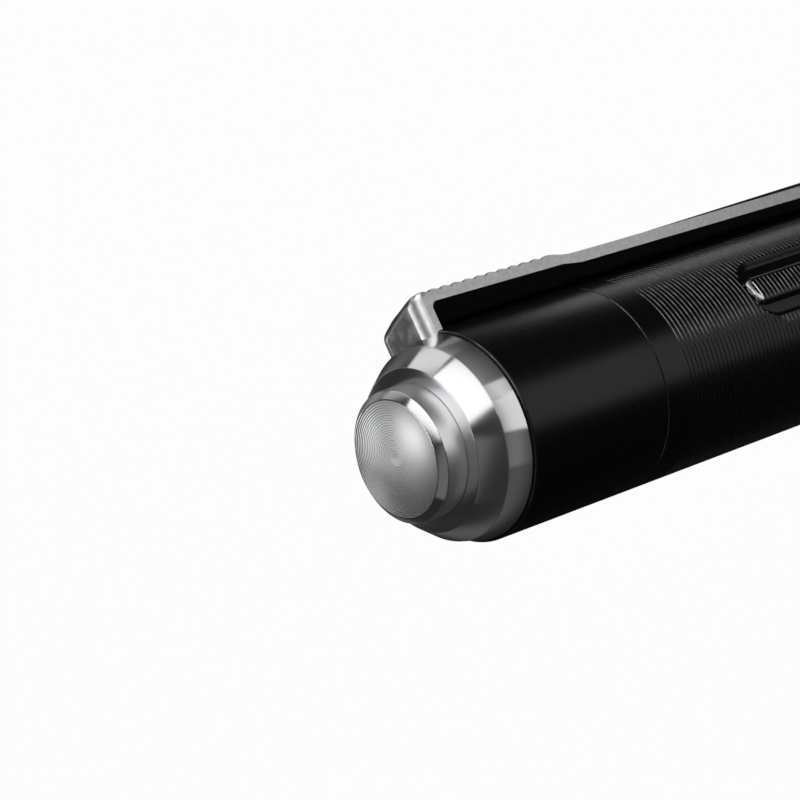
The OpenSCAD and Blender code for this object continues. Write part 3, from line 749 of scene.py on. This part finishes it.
world = bpy.data.worlds.new("studio")
scene.world = world
world.use_nodes = True
nodes, links = world.node_tree.nodes, world.node_tree.links
nodes.clear()
output = nodes.new("ShaderNodeOutputWorld")
back = nodes.new("ShaderNodeBackground")
white = nodes.new("ShaderNodeBackground")
back.inputs["Color"].default_value = (studio["worldGrey"],) * 3 + (1.0,)
white.inputs["Color"].default_value = (1.0, 1.0, 1.0, 1.0)
light = nodes.new("ShaderNodeLightPath")
mix = nodes.new("ShaderNodeMixShader")
links.new(light.outputs["Is Camera Ray"], mix.inputs[0])
links.new(back.outputs[0], mix.inputs[1])
links.new(white.outputs[0], mix.inputs[2])
links.new(mix.outputs[0], output.inputs["Surface"])

# each lamp is a soft panel that faces the tail: its direction, distance, width and height, and brightness
lamps = {
    "keyPanel": {"az": -46.0, "el": 31.0, "far": 0.40, "size": (0.52, 0.46), "bright": 1.4},
    "highPanel": {"az": 68.0, "el": 60.0, "far": 0.40, "size": (0.11, 0.16), "bright": 2.65},
    "backPanel": {"az": 72.0, "el": 15.0, "far": 0.40, "size": (0.12, 0.16), "bright": 2.5},
    "lowPanel": {"az": -92.0, "el": -30.0, "far": 0.11, "size": (0.07, 0.11), "bright": 0.85},
    "sidePanel": {"az": 6.0, "el": 2.0, "far": 0.25, "size": (0.155, 0.10), "bright": 0.9},
    "sideFar": {"az": 48.0, "el": 6.0, "far": 0.35, "size": (0.16, 0.11), "bright": 0.28},
    "sideLow": {"az": 17.0, "el": -31.0, "far": 0.11, "size": (0.038, 0.08), "bright": 0.2},
    "sideFloor": {"az": 16.0, "el": -51.0, "far": 0.145, "size": (0.045, 0.04), "bright": 0.75},
    "sideHigh": {"az": 12.0, "el": 21.0, "far": 0.30, "size": (0.25, 0.09), "bright": 0.42},
    "fillLow": {"az": -128.0, "el": -10.0, "far": 0.35, "size": (0.2, 0.1), "bright": 0.13},
    "faceSide": {"az": 56.0, "el": 26.0, "far": 0.40, "size": (0.10, 0.12), "bright": 0.35},
    "lowTop": {"az": -66.0, "el": -14.0, "far": 0.11, "size": (0.031, 0.031), "bright": 0.8},
    "fillHigh": {"az": -150.0, "el": 46.0, "far": 0.35, "size": (0.52, 0.24), "bright": 0.14},
}
lampAim = Vector((0, 0, studio["aimHeight"]))
for name, setting in lamps.items():
    data = bpy.data.lights.new(name, "AREA")
    data.shape = "RECTANGLE"
    data.size, data.size_y = setting["size"]
    data.energy = setting["bright"] * math.pi * setting["size"][0] * setting["size"][1]
    lamp = bpy.data.objects.new(name, data)
    turn, lift = math.radians(setting["az"]), math.radians(setting["el"])
    away = Vector((math.cos(lift) * math.cos(turn), math.cos(lift) * math.sin(turn), math.sin(lift)))
    aim = (-away).to_track_quat("-Z", "Y")
    lamp.matrix_world = Matrix.Translation(lampAim + away * setting["far"]) @ aim.to_matrix().to_4x4()
    lamp.visible_camera = False
    scene.collection.objects.link(lamp)

# camera: place in millimetres and turn in degrees
camera = {"place": (-20.18795, -143.64471, 251.40271), "turn": (-21.008163, 47.17474, -126.898071),
          "lens": 144.12369, "sensor": 36.0, "near": 10.0}
cameraData = bpy.data.cameras.new("camera")
cameraData.lens = camera["lens"]
cameraData.sensor_width = camera["sensor"]
cameraData.clip_start = camera["near"] * mm
cameraObject = bpy.data.objects.new("camera", cameraData)
cameraTurn = Euler([math.radians(angle) for angle in camera["turn"]])
cameraObject.matrix_world = Matrix.LocRotScale(Vector(camera["place"]) * mm, cameraTurn, None)
scene.collection.objects.link(cameraObject)
scene.camera = cameraObject
scene.view_settings.view_transform = "Standard"
print("studio done")
